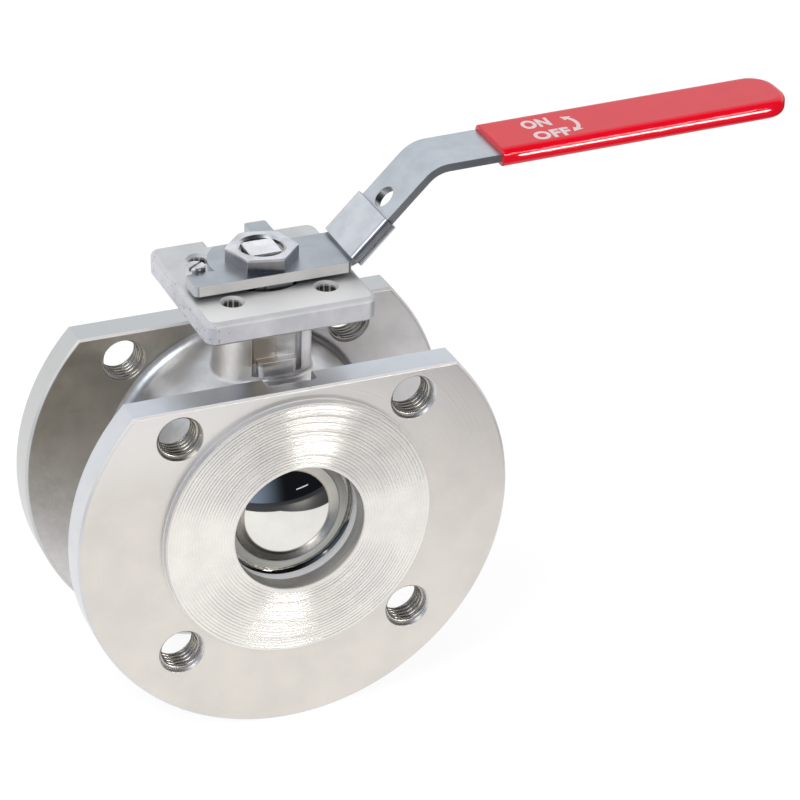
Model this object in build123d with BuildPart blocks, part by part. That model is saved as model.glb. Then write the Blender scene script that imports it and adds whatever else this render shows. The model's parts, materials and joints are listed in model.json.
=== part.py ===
"""Flanged wafer ball valve, nominal bore 50, with a lockable lever.

Origin: centre of the inlet port's mouth, on the front sealing face.
+Y runs into the valve along the pipe axis, +Z up along the stem.
At rest the valve is shut and its lever points along +X.
"""
import os
from math import cos, radians, sin, tan

from build123d import *

os.makedirs("parts", exist_ok=True)

# Flanges and ports
bore_r = 25.0
ball_setback = 3.5
raised_face_h = 3.0
raised_face_margin = 2.7
flange_t = 12.3
flange_edge = 0.8
flange_rim = 11.2
bolt_count = 4
bolt_margin = 0.1
tap_r = 8.0
tap_mouth = 0.8
tap_back_mouth = 0.4

# Ball, seats and the cavity that holds them
ball_wall = 11.5
ball_room = 1.5
seat_wall_y = 7.5
seat_len = 13.0
seat_ring_w = 9.0
seat_lip = 0.3
seat_fit = 0.1
ball_fit = 0.05
slot_w = 10.0
slot_depth = 6.5

# Screwed end ring at the rear, and its gasket
gasket_ledge = 3.0
gasket_t = 1.0
retainer_fit = 0.1
notch_w = 10.0
notch_depth = 3.0
notch_len = 3.5
retainer_edge = 0.5

# Barrel and flats
barrel_wall = 12.0
barrel_fillet = 4.0
flat_margin = 1.5

# Stem, from the ball upwards
stem_r = 8.0
stem_fit = 0.05
tang_fit = 0.05
tang_gap = 0.3
tang_len = 21.0
collar_r = 13.0
collar_h = 4.3
collar_room = 0.5
collar_fit = 0.3
running_gap = 0.2
thrust_washer_t = 2.0
throat_h = 12.0
o_ring_w = 1.0
o_ring_z_in_throat = 4.0
contact_r = 1.5
contact_z_in_throat = 8.5
contact_depth = 6.3
contact_gap = 0.03
spring_r = 1.1
spring_wire_r = 0.16
spring_turns = 4

# Packing box and its load
packing_r = 11.0
packing_fit = 0.05
packing_h = 3.2
packing_edge = 0.3
gland_sleeve_h = 4.4
gland_flange_h = 2.2
gland_flange_r = 13.3
gland_room = 1.0
gland_edge = 0.4
disc_r = 13.5
disc_t = 1.5
disc_cone = 0.9
gland_nut_h = 8.0
nut_across = 23.0
nut_yaw = -13.5
nut_chamfer_r = 12.5
nut_chamfer_angle = 30.0
tab_washer_t = 0.8
tab_washer_r = 11.8
ear_w = 10.0
ear_x = 2.0
ear_drop = 4.6
ear_fit = 0.05
ear_bend_r = 0.6

# Neck and top pad
neck_r = 18.0
neck_fillet = 1.4
pocket_w = 19.0
pocket_depth = 4.5
pocket_top = 10.0
pocket_round = 2.0
foot_w = 14.6
foot_h = 7.0
foot_depth = 3.6
recess_r = 15.2
recess_depth = 14.3
pad_w = 64.0
pad_t = 9.0
pad_corner_r = 4.0
pad_edge = 2.0
pad_under_edge = 1.3
pad_notch_w = 21.0
pad_notch_depth = 5.0
pad_pitch_r = 25.0
pad_hole_r = 3.5
pad_hole_mouth = 1.1
stop_r = 3.5
stop_shank_r = 3.0
stop_margin = 7.0
stop_above = 1.6
stop_edge = 0.4
stop_slot_w = 1.0
stop_slot_depth = 1.2
stop_slot_yaw = 35.0

# Lever
sheet_t = 3.0
lever_half = 11.5
base_left = 30.2
base_front = 13.9
base_rear = 14.4
base_right = 29.4
base_corner_r = 2.0
base_corner_small_r = 1.0
rim_t = 0.9
rim_drop = 1.0
notch_gap = 1.9
stop_play = 0.1
tab_right = 12.0
tab_reach = 28.5
square_across = 12.0
square_fit = 0.05
bend_x = 30.0
shank_angle = 45.0
shank_len = 44.2
lower_bend_r = 2.5
upper_bend_r = 14.0
level_angle = 1.25
level_len = 142.5
level_end_r = 8.8
lock_hole_r = 4.25
lock_hole_s = 23.5
lever_nut_h = 5.0
thread_mouth = 0.9
stem_below_nut = 0.5
stem_edge = 0.5

# Lock slide on the shank
slide_len = 18.3
slide_t = 1.5
slide_fit = 0.25
slide_start = 0.2
slide_corner_r = 1.8
slide_seam = 0.4
slide_seam_low = 0.6

# Plastic grip
grip_start = 26.0
grip_wall = 1.25
grip_wall_flat = 2.1
grip_edge = 2.6
grip_mouth_edge = 0.5
grip_fit = 0.05

# How far off an edge may lie and still be found
near = 0.1

# Places worked out from the sizes
ball_r = bore_r + ball_wall
stem_y = ball_r + ball_setback
face_to_face = 2 * stem_y
flange_back = raised_face_h + flange_t
cavity_r = ball_r + ball_room
pocket_r = bore_r + seat_ring_w
cavity_near = seat_wall_y + seat_len
retainer_r = cavity_r + gasket_ledge
barrel_r = cavity_r + barrel_wall
bolt_circle_r = barrel_r + barrel_fillet + tap_r + tap_back_mouth + bolt_margin
raised_face_r = bolt_circle_r - tap_r - tap_mouth - raised_face_margin
flange_r = bolt_circle_r + tap_r + tap_mouth + flange_rim
flange_flat_z = barrel_r + barrel_fillet + flat_margin
ledge_far = face_to_face - cavity_near - gasket_t

slot_z = ball_r - slot_depth
collar_z = cavity_r + collar_room
thrust_z = collar_z + collar_h + running_gap
throat_z = thrust_z + thrust_washer_t
packing_z = throat_z + throat_h
gland_z = packing_z + 3 * packing_h
gland_flange_z = gland_z + gland_sleeve_h
recess_z = gland_flange_z - gland_room
discs_z = gland_flange_z + gland_flange_h + running_gap
disc_h = disc_t + disc_cone
gland_nut_z = discs_z + 2 * disc_h
tab_washer_z = gland_nut_z + gland_nut_h
lever_z = tab_washer_z + tab_washer_t
lever_top_z = lever_z + sheet_t
stem_top_z = lever_top_z + lever_nut_h - stem_below_nut
pad_top_z = recess_z + recess_depth
pad_z = pad_top_z - pad_t
stop_x = pad_w / 2 - stop_margin
notch_arc_r = stop_x - stop_r - notch_gap
throat_r = stem_r + stem_fit
nut_bore_r = stem_r + stem_fit
square_hole = square_across + 2 * square_fit

stem_axis = Axis((0, stem_y, 0), (0, 0, 1))
pipe_axis = Axis((0, 0, 0), (0, 1, 0))


def across(y):
    """Plane across the pipe at distance y from the inlet face; it looks back at the inlet."""
    return Plane(origin=(0, y, 0), x_dir=(1, 0, 0), z_dir=(0, -1, 0))


def level(z):
    """Level plane at height z, centred on the stem."""
    return Plane(origin=(0, stem_y, z), x_dir=(1, 0, 0), z_dir=(0, 0, 1))


# Upright plane through the pipe axis, x along the pipe and y up
pipe_section = Plane(origin=(0, 0, 0), x_dir=(0, 1, 0), z_dir=(1, 0, 0))
# Upright plane through the stem, x to the right and y up
stem_section = across(stem_y)

# Frame of the lever's shank: origin where the top faces meet at the lower bend, x up the shank
shank_dir = Vector(cos(radians(shank_angle)), 0, sin(radians(shank_angle)))
shank_up = Vector(-sin(radians(shank_angle)), 0, cos(radians(shank_angle)))
shank_foot = Vector(bend_x, stem_y, lever_top_z)
shank_top_plane = Plane(origin=shank_foot, x_dir=shank_dir, z_dir=shank_up)
# Frame of the level part: origin where the top faces meet at the upper bend
knee = shank_foot + shank_dir * shank_len
level_dir = Vector(cos(radians(level_angle)), 0, sin(radians(level_angle)))
level_up = Vector(-sin(radians(level_angle)), 0, cos(radians(level_angle)))
level_plane = Plane(origin=knee - level_up * (sheet_t / 2), x_dir=level_dir, z_dir=level_up)


# Body: flanges, barrel, neck and pad in one casting
with BuildPart() as body:
    # Barrel and flanges, turned about the pipe axis
    with BuildSketch(pipe_section):
        with Locations((stem_y, barrel_r / 2)):
            Rectangle(face_to_face - 2 * raised_face_h, barrel_r)
        for flange_y in (raised_face_h, face_to_face - flange_back):
            with Locations((flange_y + flange_t / 2, flange_r / 2)):
                Rectangle(flange_t, flange_r)
        inner_corners = vertices().filter_by_position(Axis.Y, barrel_r - near, barrel_r + near)
        fillet(inner_corners, barrel_fillet)
        rim_corners = vertices().group_by(Axis.Y)[-1]
        chamfer(rim_corners, flange_edge)
    revolve(axis=pipe_axis)
    # Flat tops of both flanges
    for flange_y in (raised_face_h, face_to_face - flange_back):
        with BuildSketch(across(flange_y)):
            with Locations((0, flange_flat_z)):
                Rectangle(2 * flange_r, flange_r, align=(Align.CENTER, Align.MIN))
        extrude(amount=-flange_t, mode=Mode.SUBTRACT)
    flats = faces().filter_by(Axis.Z)
    flats = flats.filter_by_position(Axis.Z, flange_flat_z - near, flange_flat_z + near)
    chamfer(flats.edges().filter_by(Axis.X), flange_edge)
    # Raised sealing faces
    for face_y in (0, face_to_face - raised_face_h):
        with BuildSketch(across(face_y)):
            Circle(raised_face_r)
        extrude(amount=-raised_face_h)
    # Neck, rounded into the barrel
    with BuildSketch(level(0)):
        Circle(neck_r)
    extrude(amount=pad_z + pad_t / 2)
    neck_seam = edges().filter_by(GeomType.BSPLINE)
    neck_seam = neck_seam.filter_by_position(Axis.Z, barrel_r - neck_r, barrel_r + near)
    fillet(neck_seam, neck_fillet)
    # Pad with its rear notch
    with BuildSketch(level(pad_z)):
        RectangleRounded(pad_w, pad_w, pad_corner_r)
        with Locations((0, pad_w / 2)):
            Rectangle(pad_notch_w, 2 * pad_notch_depth, mode=Mode.SUBTRACT)
    extrude(amount=pad_t)
    pad_top = faces().sort_by(Axis.Z)[-1]
    fillet(pad_top.outer_wire().edges(), pad_edge)
    under = faces().filter_by(Axis.Z).filter_by_position(Axis.Z, pad_z - near, pad_z + near)[0]
    fillet(under.outer_wire().edges(), pad_under_edge)
    under = faces().filter_by(Axis.Z).filter_by_position(Axis.Z, pad_z - near, pad_z + near)[0]
    fillet(under.inner_wires()[0].edges(), neck_fillet)
    # Cast pockets in front and behind, each with a foot on the barrel
    for side in (-1, 1):
        floor_y = side * (neck_r - pocket_depth)
        with BuildSketch(level(barrel_r + neck_fillet)):
            with Locations((0, floor_y + side * neck_r / 2)):
                RectangleRounded(pocket_w, neck_r, pocket_round)
        extrude(amount=packing_z + pocket_top - barrel_r - neck_fillet, mode=Mode.SUBTRACT)
    for side in (-1, 1):
        floor_y = side * (neck_r - pocket_depth)
        with BuildSketch(level(barrel_r - neck_fillet)):
            with Locations((0, floor_y)):
                RectangleRounded(foot_w, 2 * foot_depth, pocket_round)
        extrude(amount=foot_h + neck_fillet)
    # Flow way: inlet, front seat's pocket, cavity, and the bore for gasket and end ring
    with BuildSketch(pipe_section):
        with BuildLine():
            Polyline(
                (0, 0),
                (0, bore_r),
                (seat_wall_y, bore_r),
                (seat_wall_y, pocket_r),
                (cavity_near, pocket_r),
                (cavity_near, cavity_r),
                (ledge_far, cavity_r),
                (ledge_far, retainer_r),
                (face_to_face, retainer_r),
                (face_to_face, 0),
                close=True,
            )
        make_face()
    revolve(axis=pipe_axis, mode=Mode.SUBTRACT)
    # Stem way: collar bore, throat, packing box, recess for springs and nut
    with BuildSketch(stem_section):
        with BuildLine():
            Polyline(
                (0, slot_z),
                (collar_r + collar_fit, slot_z),
                (collar_r + collar_fit, throat_z),
                (throat_r, throat_z),
                (throat_r, packing_z),
                (packing_r, packing_z),
                (packing_r, recess_z),
                (recess_r, recess_z),
                (recess_r, pad_top_z),
                (0, pad_top_z),
                close=True,
            )
        make_face()
    revolve(axis=stem_axis, mode=Mode.SUBTRACT)
    # Tapped holes of both flanges
    for flange_y in (raised_face_h, face_to_face - flange_back):
        with Locations(across(flange_y)):
            with PolarLocations(bolt_circle_r, bolt_count, start_angle=45):
                Hole(tap_r, depth=flange_t)
    taps = edges().filter_by(GeomType.CIRCLE)
    taps = taps.filter_by(lambda edge: abs(edge.radius - tap_r) < near)
    taps = taps.group_by(Axis.Y)
    chamfer(taps[0] + taps[-1], tap_mouth)
    chamfer(taps[1] + taps[-2], tap_back_mouth)
    # Holes of the actuator pad, and the hole of the stop pin
    with Locations(level(pad_top_z)):
        with PolarLocations(pad_pitch_r, 4, start_angle=45):
            CounterSinkHole(pad_hole_r, pad_hole_r + pad_hole_mouth, depth=pad_t, counter_sink_angle=90)
        with Locations((-stop_x, 0)):
            Hole(stop_shank_r + stem_fit, depth=pad_t)
body.part.label = "body"
export_step(body.part, "parts/body.step")

# End ring that is screwed in from the rear and holds ball and seats
with BuildPart() as end_retainer:
    with BuildSketch(pipe_section):
        with BuildLine():
            Polyline(
                (ledge_far + gasket_t, pocket_r),
                (ledge_far + gasket_t, retainer_r - retainer_fit),
                (face_to_face, retainer_r - retainer_fit),
                (face_to_face, bore_r),
                (face_to_face - seat_wall_y, bore_r),
                (face_to_face - seat_wall_y, pocket_r),
                close=True,
            )
        make_face()
    revolve(axis=pipe_axis)
    outer_edges = edges().filter_by(GeomType.CIRCLE).group_by(lambda edge: edge.radius)[-1]
    chamfer(outer_edges, retainer_edge)
    # Two notches for the spanner
    with BuildSketch(across(face_to_face - notch_len)):
        with Locations((bore_r, 0), (-bore_r, 0)):
            Rectangle(2 * notch_depth, notch_w)
    extrude(amount=-notch_len, mode=Mode.SUBTRACT)
end_retainer.part.label = "end_retainer"
export_step(end_retainer.part, "parts/end_retainer.step")

# Flat ring between end ring and body
with BuildPart() as body_gasket:
    with BuildSketch(across(ledge_far)):
        Circle(retainer_r - retainer_fit)
        Circle(cavity_r + retainer_fit, mode=Mode.SUBTRACT)
    extrude(amount=-gasket_t)
body_gasket.part.label = "body_gasket"
export_step(body_gasket.part, "parts/body_gasket.step")


def make_seat(wall_y, inward):
    """Seat ring with its back on the wall at wall_y; inward is +1 or -1 along the pipe."""
    with BuildPart() as seat:
        with BuildSketch(pipe_section):
            with Locations((wall_y + inward * seat_len / 2, (bore_r + seat_lip + pocket_r - seat_fit) / 2)):
                Rectangle(seat_len, pocket_r - seat_fit - bore_r - seat_lip)
        revolve(axis=pipe_axis)
        with Locations((0, stem_y, 0)):
            Sphere(ball_r + ball_fit, mode=Mode.SUBTRACT)
    return seat


front_seat = make_seat(seat_wall_y, 1)
front_seat.part.label = "front_seat"
export_step(front_seat.part, "parts/front_seat.step")

rear_seat = make_seat(face_to_face - seat_wall_y, -1)
rear_seat.part.label = "rear_seat"
export_step(rear_seat.part, "parts/rear_seat.step")

# Ball: bored along X while shut, slotted on top along the pipe
with BuildPart() as ball:
    with Locations((0, stem_y, 0)):
        Sphere(ball_r)
    with BuildSketch(Plane(origin=(0, stem_y, 0), x_dir=(0, 1, 0), z_dir=(1, 0, 0))):
        Circle(bore_r)
    extrude(amount=ball_r, both=True, mode=Mode.SUBTRACT)
    with BuildSketch(level(slot_z)):
        Rectangle(slot_w, 2 * ball_r)
    extrude(amount=slot_depth, mode=Mode.SUBTRACT)
ball.part.label = "ball"
export_step(ball.part, "parts/ball.step")

# Stem: tang in the ball's slot, collar, grooved shaft, square end
contact_z = packing_z - throat_h + contact_z_in_throat
o_ring_z = packing_z - throat_h + o_ring_z_in_throat
with BuildPart() as stem:
    with BuildSketch(level(slot_z + tang_gap)):
        Circle(collar_r)
        Rectangle(slot_w - 2 * tang_fit, tang_len, mode=Mode.INTERSECT)
    extrude(amount=collar_z - slot_z - tang_gap)
    with BuildSketch(level(collar_z)):
        Circle(collar_r)
    extrude(amount=collar_h)
    with BuildSketch(level(collar_z + collar_h)):
        Circle(stem_r)
    extrude(amount=tab_washer_z - collar_z - collar_h)
    with BuildSketch(level(tab_washer_z)):
        Circle(stem_r)
        Rectangle(square_across, square_across, mode=Mode.INTERSECT)
    extrude(amount=stem_top_z - tab_washer_z)
    stem_end = faces().sort_by(Axis.Z)[-1]
    chamfer(stem_end.edges(), stem_edge)
    with BuildSketch(stem_section):
        with Locations((stem_r, o_ring_z)):
            Circle(o_ring_w)
    revolve(axis=stem_axis, mode=Mode.SUBTRACT)
    with BuildSketch(Plane(origin=(-stem_r, stem_y, contact_z), x_dir=(0, 1, 0), z_dir=(-1, 0, 0))):
        Circle(contact_r + stem_fit)
    extrude(amount=-contact_depth, mode=Mode.SUBTRACT)
stem.part.label = "stem"
export_step(stem.part, "parts/stem.step")

# Thrust washer between the stem's collar and the body
with BuildPart() as stem_thrust_washer:
    with BuildSketch(level(thrust_z)):
        Circle(collar_r)
        Circle(throat_r, mode=Mode.SUBTRACT)
    extrude(amount=thrust_washer_t)
stem_thrust_washer.part.label = "stem_thrust_washer"
export_step(stem_thrust_washer.part, "parts/stem_thrust_washer.step")

# O-ring in the stem's groove
with BuildPart() as stem_o_ring:
    with BuildSketch(stem_section):
        with Locations((stem_r - stem_fit, o_ring_z)):
            Circle(o_ring_w - stem_fit)
        with Locations((throat_r, o_ring_z)):
            Rectangle(o_ring_w, 2 * o_ring_w, align=(Align.MIN, Align.CENTER), mode=Mode.SUBTRACT)
    revolve(axis=stem_axis)
stem_o_ring.part.label = "stem_o_ring"
export_step(stem_o_ring.part, "parts/stem_o_ring.step")

# Packing rings, from the bottom up
for ring_index, ring_name in enumerate(("bottom", "middle", "top")):
    with BuildPart() as packing_ring:
        with BuildSketch(level(packing_z + ring_index * packing_h)):
            Circle(packing_r - packing_fit)
            Circle(throat_r, mode=Mode.SUBTRACT)
        extrude(amount=packing_h)
        chamfer(edges().filter_by(GeomType.CIRCLE), packing_edge)
    packing_ring.part.label = "packing_ring_" + ring_name
    export_step(packing_ring.part, "parts/packing_ring_" + ring_name + ".step")

# Gland ring: sleeve on the packing, flange under the springs
with BuildPart() as gland_ring:
    with BuildSketch(level(gland_z)):
        Circle(packing_r - packing_fit)
    extrude(amount=gland_sleeve_h)
    with BuildSketch(level(gland_flange_z)):
        Circle(gland_flange_r)
    extrude(amount=gland_flange_h)
    chamfer(faces().sort_by(Axis.Z)[-1].edges(), gland_edge)
    with Locations(level(gland_flange_z + gland_flange_h)):
        Hole(throat_r)
gland_ring.part.label = "gland_ring"
export_step(gland_ring.part, "parts/gland_ring.step")


def make_disc(low_r, high_r, z):
    """Dished washer that is seated at height z; its bottom rim lies at low_r, its top rim at high_r."""
    with BuildPart() as disc:
        with BuildSketch(stem_section):
            with BuildLine():
                Polyline(
                    (low_r, z),
                    (low_r, z + disc_t),
                    (high_r, z + disc_h),
                    (high_r, z + disc_cone),
                    close=True,
                )
            make_face()
        revolve(axis=stem_axis)
    return disc


# Two dished washers, rim to rim
lower_disc_spring = make_disc(throat_r, disc_r, discs_z)
lower_disc_spring.part.label = "lower_disc_spring"
export_step(lower_disc_spring.part, "parts/lower_disc_spring.step")

upper_disc_spring = make_disc(disc_r, throat_r, discs_z + disc_h)
upper_disc_spring.part.label = "upper_disc_spring"
export_step(upper_disc_spring.part, "parts/upper_disc_spring.step")


def make_nut(z, height, mouth, yaw):
    """Hexagon nut on the stem, turned off at its top corners; its threads are left to the looks."""
    corner_r = nut_across / 2 / cos(radians(30))
    drop = (corner_r - nut_chamfer_r) * tan(radians(nut_chamfer_angle))
    with BuildPart() as nut:
        with BuildSketch(level(z)):
            RegularPolygon(nut_across / 2, 6, major_radius=False, rotation=yaw)
        extrude(amount=height)
        with BuildSketch(stem_section):
            with BuildLine():
                Polyline(
                    (0, z),
                    (corner_r, z),
                    (corner_r, z + height - drop),
                    (nut_chamfer_r, z + height),
                    (0, z + height),
                    close=True,
                )
            make_face()
        revolve(axis=stem_axis, mode=Mode.INTERSECT)
        with Locations(level(z + height)):
            Hole(nut_bore_r)
        mouths = edges().filter_by(GeomType.CIRCLE)
        mouths = mouths.filter_by(lambda edge: abs(edge.radius - nut_bore_r) < near)
        chamfer(mouths, mouth)
    return nut


gland_nut = make_nut(gland_nut_z, gland_nut_h, thread_mouth / 2, 0)
gland_nut.part.label = "gland_nut"
export_step(gland_nut.part, "parts/gland_nut.step")

lever_nut = make_nut(lever_top_z, lever_nut_h, thread_mouth, nut_yaw)
lever_nut.part.label = "lever_nut"
export_step(lever_nut.part, "parts/lever_nut.step")

# Tab washer on the stem's square; its ear is bent down over a flat of the gland nut
ear_y = nut_across / 2 + ear_fit
with BuildPart() as tab_washer:
    with BuildSketch(level(tab_washer_z)):
        Circle(tab_washer_r)
        with Locations((ear_x, 0)):
            Rectangle(ear_w, ear_y + tab_washer_t, align=(Align.CENTER, Align.MAX))
        Rectangle(square_hole, square_hole, mode=Mode.SUBTRACT)
    extrude(amount=tab_washer_t)
    with BuildSketch(level(lever_z)):
        with Locations((ear_x, -ear_y)):
            Rectangle(ear_w, tab_washer_t, align=(Align.CENTER, Align.MAX))
    extrude(amount=-ear_drop)
    ear_edges = edges().filter_by(Axis.X).sort_by(Axis.Y)
    ear_bend = ear_edges.filter_by_position(Axis.Z, lever_z - near, lever_z + near)[0]
    fillet(ear_bend, ear_bend_r)
tab_washer.part.label = "tab_washer"
export_step(tab_washer.part, "parts/tab_washer.step")

# Lever: one bent sheet with a wide base, rims, notch, stop tab and lock hole
stop_wall = stop_r + stop_play
level_end = knee + level_dir * level_len
with BuildPart() as lever:
    # Bent strip, from the base to the round end inside the grip
    with BuildSketch(stem_section):
        with BuildLine():
            Polyline(
                (0, lever_top_z),
                (bend_x, lever_top_z),
                (knee.X, knee.Z),
                (level_end.X, level_end.Z),
            )
            fillet(vertices().sort_by(Axis.X)[1], lower_bend_r)
            fillet(vertices().sort_by(Axis.X)[3], upper_bend_r)
            offset(amount=sheet_t, side=Side.RIGHT)
        make_face()
    extrude(amount=lever_half, both=True)
    with BuildSketch(level(0)):
        Rectangle(level_end.X, 2 * lever_half, align=(Align.MIN, Align.CENTER))
        fillet(vertices().group_by(Axis.X)[-1], level_end_r)
    extrude(amount=level_end.Z + sheet_t, mode=Mode.INTERSECT)
    # Flat base: disc with the stop pin's notch beside it, front strip, right part, stop tab
    with BuildSketch(level(lever_z)):
        Circle(notch_arc_r)
        with Locations((0, -base_front)):
            Rectangle(
                2 * notch_arc_r,
                base_front + base_rear,
                align=(Align.CENTER, Align.MIN),
                mode=Mode.INTERSECT,
            )
        with Locations((-base_left, -base_front)):
            Rectangle(
                base_left + base_right,
                base_front - stop_wall,
                align=(Align.MIN, Align.MIN),
            )
        with Locations((0, -base_front)):
            Rectangle(base_right, base_front + lever_half, align=(Align.MIN, Align.MIN))
        with Locations((tab_right, lever_half)):
            Rectangle(base_right, base_rear, align=(Align.MIN, Align.MIN), mode=Mode.SUBTRACT)
        with Locations((stop_wall, 0)):
            Rectangle(tab_right - stop_wall, tab_reach, align=(Align.MIN, Align.MIN))
        fillet(vertices().group_by(Axis.Y)[0], base_corner_r)
        left_top = vertices().group_by(Axis.X)[0].sort_by(Axis.Y)[-1]
        fillet([left_top] + vertices().group_by(Axis.Y)[-1], base_corner_small_r)
    extrude(amount=sheet_t)
    # Rims turned down along the edges
    with BuildSketch(level(lever_z)):
        with Locations((-base_left, -base_front)):
            Rectangle(base_left + base_right, base_front - stop_wall, align=(Align.MIN, Align.MIN))
        fillet(vertices().group_by(Axis.Y)[0], base_corner_r)
        with Locations((rim_t - base_left, rim_t - base_front)):
            Rectangle(
                base_left + base_right,
                base_front,
                align=(Align.MIN, Align.MIN),
                mode=Mode.SUBTRACT,
            )
        with Locations((stop_wall, base_rear)):
            Rectangle(notch_arc_r / 2 + stop_wall, rim_t, align=(Align.MAX, Align.MAX))
        with Locations((tab_right, lever_half)):
            Rectangle(base_right - tab_right - rim_t, rim_t, align=(Align.MIN, Align.MAX))
    extrude(amount=-rim_drop)
    # Square hole for the stem, and the padlock's hole in the shank
    with BuildSketch(level(lever_z)):
        Rectangle(square_hole, square_hole)
    extrude(amount=sheet_t, mode=Mode.SUBTRACT)
    with BuildSketch(shank_top_plane):
        with Locations((lock_hole_s, 0)):
            Circle(lock_hole_r)
    extrude(amount=-2 * sheet_t, mode=Mode.SUBTRACT)
lever.part.label = "lever"
export_step(lever.part, "parts/lever.step")

# Lock slide: strip bent round the shank, with a seam in its front wall
slide_origin = shank_foot + shank_dir * slide_start - shank_up * (sheet_t / 2)
slide_w = 2 * (lever_half + slide_fit + slide_t)
slide_h = sheet_t + 2 * (slide_fit + slide_t)
with BuildPart() as lock_slide:
    with BuildSketch(Plane(origin=slide_origin, x_dir=(0, 1, 0), z_dir=shank_dir)):
        RectangleRounded(slide_w, slide_h, slide_corner_r)
        RectangleRounded(
            slide_w - 2 * slide_t,
            slide_h - 2 * slide_t,
            slide_corner_r - slide_t,
            mode=Mode.SUBTRACT,
        )
        with Locations((-slide_w / 2, -slide_seam_low)):
            Rectangle(
                2 * slide_t + slide_fit,
                slide_seam,
                mode=Mode.SUBTRACT,
            )
    extrude(amount=slide_len)
lock_slide.part.label = "lock_slide"
export_step(lock_slide.part, "parts/lock_slide.step")

# Grip: closed plastic sleeve over the level part
grip_half = lever_half + grip_wall
room_half = lever_half + grip_fit
with BuildPart() as grip:
    with BuildSketch(level_plane):
        with Locations((grip_start, 0)):
            Rectangle(
                level_len + grip_wall - grip_start,
                2 * grip_half,
                align=(Align.MIN, Align.CENTER),
            )
        fillet(vertices().group_by(Axis.X)[-1], level_end_r + grip_wall)
    extrude(amount=sheet_t / 2 + grip_wall_flat, both=True)
    broad_faces = faces().filter_by(GeomType.PLANE).sort_by(SortBy.AREA)[-2:]
    long_edges = broad_faces.edges().sort_by(Axis.X)[2:]
    fillet(long_edges, grip_edge)
    mouth_face = faces().sort_by(Axis.X)[0]
    fillet(mouth_face.edges(), grip_mouth_edge)
    # Room for the lever inside it
    with BuildSketch(level_plane):
        Rectangle(level_len + grip_fit, 2 * room_half, align=(Align.MIN, Align.CENTER))
        fillet(vertices().group_by(Axis.X)[-1], level_end_r + grip_fit)
    extrude(amount=sheet_t / 2 + grip_fit, both=True, mode=Mode.SUBTRACT)
grip.part.label = "grip"
export_step(grip.part, "parts/grip.step")

# Stop pin: slotted head over the pad, shank in it
with BuildPart() as stop_pin:
    with BuildSketch(level(pad_z)):
        with Locations((-stop_x, 0)):
            Circle(stop_shank_r)
    extrude(amount=pad_t)
    with BuildSketch(level(pad_top_z)):
        with Locations((-stop_x, 0)):
            Circle(stop_r)
    extrude(amount=lever_top_z + stop_above - pad_top_z)
    chamfer(faces().sort_by(Axis.Z)[-1].edges(), stop_edge)
    with BuildSketch(level(lever_top_z + stop_above)):
        with Locations(Location((-stop_x, 0), stop_slot_yaw)):
            Rectangle(3 * stop_r, stop_slot_w)
    extrude(amount=-stop_slot_depth, mode=Mode.SUBTRACT)
stop_pin.part.label = "stop_pin"
export_step(stop_pin.part, "parts/stop_pin.step")

# Contact ball and its spring in the stem's side hole
contact_x = contact_gap + contact_r - throat_r
with BuildPart() as antistatic_ball:
    with Locations((contact_x, stem_y, contact_z)):
        Sphere(contact_r)
antistatic_ball.part.label = "antistatic_ball"
export_step(antistatic_ball.part, "parts/antistatic_ball.step")

spring_start = contact_depth - stem_r - spring_wire_r - stem_fit
spring_len = spring_start - contact_x - contact_r - spring_wire_r - stem_fit
with BuildPart() as antistatic_spring:
    with BuildLine() as coil:
        Helix(
            pitch=spring_len / spring_turns,
            height=spring_len,
            radius=spring_r,
            center=(spring_start, stem_y, contact_z),
            direction=(-1, 0, 0),
        )
    with BuildSketch(Plane(origin=coil.line @ 0, z_dir=coil.line % 0)):
        Circle(spring_wire_r)
    sweep(path=coil.line, is_frenet=True)
antistatic_spring.part.label = "antistatic_spring"
export_step(antistatic_spring.part, "parts/antistatic_spring.step")
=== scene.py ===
# %% [markdown]
# # A wafer ball valve, dressed for the camera
# The frame holds the valve as it was designed: every piece in its place, in metres, with the
# pipe axis along Y and the stem along Z. This lesson leaves those pieces where they are. It adds
# what a drawing leaves out: turned rings, threads, print, the casting's seam, and a finish for
# every surface.

# %% Load the frame
import json
from math import cos, hypot, pi, radians, sin

import bpy
from mathutils import Matrix, Vector
from mathutils.bvhtree import BVHTree


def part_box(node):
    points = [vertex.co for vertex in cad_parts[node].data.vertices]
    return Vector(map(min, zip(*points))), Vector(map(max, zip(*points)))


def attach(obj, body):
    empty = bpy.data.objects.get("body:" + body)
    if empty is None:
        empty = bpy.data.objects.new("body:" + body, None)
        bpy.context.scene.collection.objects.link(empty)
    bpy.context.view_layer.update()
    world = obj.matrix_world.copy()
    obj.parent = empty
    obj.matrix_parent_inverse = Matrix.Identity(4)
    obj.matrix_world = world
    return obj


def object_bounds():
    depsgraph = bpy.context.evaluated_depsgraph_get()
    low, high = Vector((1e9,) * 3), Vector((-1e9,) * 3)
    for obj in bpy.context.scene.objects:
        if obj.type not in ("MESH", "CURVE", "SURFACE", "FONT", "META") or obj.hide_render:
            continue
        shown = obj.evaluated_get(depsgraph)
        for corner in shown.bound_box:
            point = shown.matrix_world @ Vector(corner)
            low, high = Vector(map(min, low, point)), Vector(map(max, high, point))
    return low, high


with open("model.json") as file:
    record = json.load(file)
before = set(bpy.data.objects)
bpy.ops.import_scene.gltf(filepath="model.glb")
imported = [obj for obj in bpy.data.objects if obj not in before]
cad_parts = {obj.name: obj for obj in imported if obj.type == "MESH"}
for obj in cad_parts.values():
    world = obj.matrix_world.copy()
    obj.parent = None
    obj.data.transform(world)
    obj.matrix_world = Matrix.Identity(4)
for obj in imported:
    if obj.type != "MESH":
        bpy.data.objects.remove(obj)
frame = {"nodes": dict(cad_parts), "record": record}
cad_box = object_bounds()
mm = 0.001
for corner in cad_box:
    print("corner of the valve, mm:", [round(value / mm, 1) for value in corner])

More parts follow.
